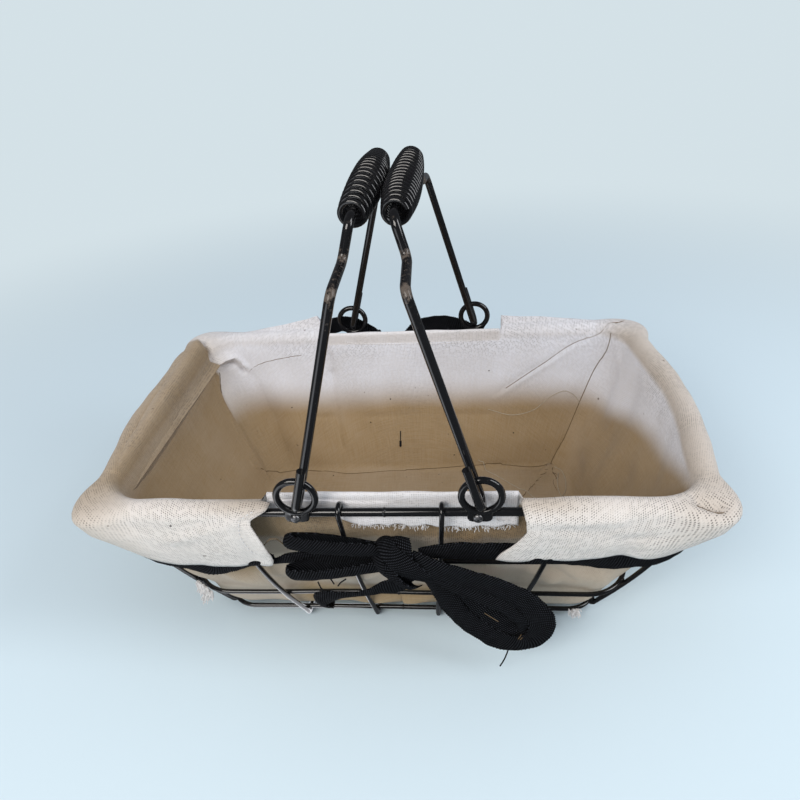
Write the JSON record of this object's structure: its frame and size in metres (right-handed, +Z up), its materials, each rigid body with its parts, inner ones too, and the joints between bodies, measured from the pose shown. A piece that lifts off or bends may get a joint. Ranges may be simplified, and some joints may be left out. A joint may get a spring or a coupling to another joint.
{
  "type": "wire basket",
  "caption": "Black enamelled wire basket with flared rounded walls, a linen liner turned down over its ends, tape ties, and swinging bail handles with coil grips.",
  "frame": {"origin": "on the table, under the middle of the basket", "axes": "+X along the length of the basket towards the right-hand handle, +Y from the front to the back, +Z up"},
  "size_m": [0.3758, 0.2408, 0.2785],
  "materials": {
    "enamelled_wire": "glossy black enamel on round steel rod, rubbed to bare grey-brown on the handle bends",
    "rivet_steel": "glossy black enamel over a domed steel rivet",
    "linen": "matt undyed open-weave linen, paler where it is turned down",
    "tape": "matt black twill tape"
  },
  "bodies": {
    "basket": {"rim_rod": "enamelled_wire", "hoop_upper": "enamelled_wire", "hoop_lower": "enamelled_wire", "base_hoop": "enamelled_wire", "cross_rib_outer_left": "enamelled_wire", "cross_rib_centre_left": "enamelled_wire", "cross_rib_centre_right": "enamelled_wire", "cross_rib_outer_right": "enamelled_wire", "long_rib_front": "enamelled_wire", "long_rib_rear": "enamelled_wire", "corner_rib_front_left": "enamelled_wire", "corner_rib_front_right": "enamelled_wire", "corner_rib_rear_left": "enamelled_wire", "corner_rib_rear_right": "enamelled_wire", "ring_front_left": "enamelled_wire", "ring_front_right": "enamelled_wire", "ring_rear_left": "enamelled_wire", "ring_rear_right": "enamelled_wire", "ring_rivet_front_left": "rivet_steel", "ring_rivet_front_right": "rivet_steel", "ring_rivet_rear_left": "rivet_steel", "ring_rivet_rear_right": "rivet_steel", "liner_bag": "linen", "liner_floor": "linen", "liner_cuff_left": "linen", "liner_cuff_right": "linen", "ribbon_left": "tape", "ribbon_right": "tape", "bow_front": "tape", "bow_rear": "tape"},
    "bail_left": {"bail_left": "enamelled_wire"},
    "bail_right": {"bail_right": "enamelled_wire"},
    "grip_left": {"grip_coil_left": "enamelled_wire"},
    "grip_right": {"grip_coil_right": "enamelled_wire"}
  },
  "joints": [
    {"name": "bail_left_swing", "type": "hinge", "parent": "basket", "child": "bail_left", "pos_m": [-0.0492, 0, 0.1283], "axis": [0, -1, 0], "range_deg": [0, 97]},
    {"name": "bail_right_swing", "type": "hinge", "parent": "basket", "child": "bail_right", "pos_m": [0.0492, 0, 0.1283], "axis": [0, 1, 0], "range_deg": [0, 97]},
    {"name": "grip_left_spin", "type": "hinge", "parent": "bail_left", "child": "grip_left", "pos_m": [-0.01065, 0, 0.26835], "axis": [0, 1, 0], "continuous": true},
    {"name": "grip_right_spin", "type": "hinge", "parent": "bail_right", "child": "grip_right", "pos_m": [0.01065, 0, 0.26835], "axis": [0, 1, 0], "continuous": true}
  ]
}
